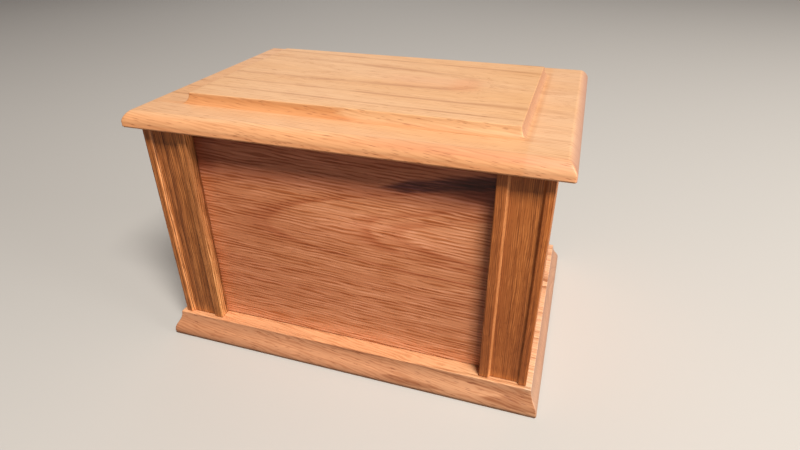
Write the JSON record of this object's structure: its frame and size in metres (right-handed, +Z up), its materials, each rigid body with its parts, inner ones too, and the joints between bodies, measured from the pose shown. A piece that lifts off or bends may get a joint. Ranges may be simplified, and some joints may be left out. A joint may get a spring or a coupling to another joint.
{
  "type": "cremation urn box",
  "caption": "Hollow box-shaped wooden urn for cremated remains, with an ogee base board, channelled corner strips, a recessed front panel and a loose lid with a raised field.",
  "frame": {"origin": "centre of the base board's underside", "axes": "+X along the width, -Y out of the front with the corner strips, +Z up through the lid"},
  "size_m": [0.28, 0.1968, 0.187],
  "materials": {
    "oak_lid": "satin clear",
    "oak_base": "satin clear",
    "oak_wall": "satin clear",
    "oak_strip": "satin clear"
  },
  "bodies": {
    "root": {"base_board": "oak_base", "wall_front": "oak_wall", "wall_back": "oak_wall", "wall_left": "oak_wall", "wall_right": "oak_wall", "strip_left": "oak_strip", "strip_right": "oak_strip", "lid": "oak_lid"}
  },
  "joints": []
}
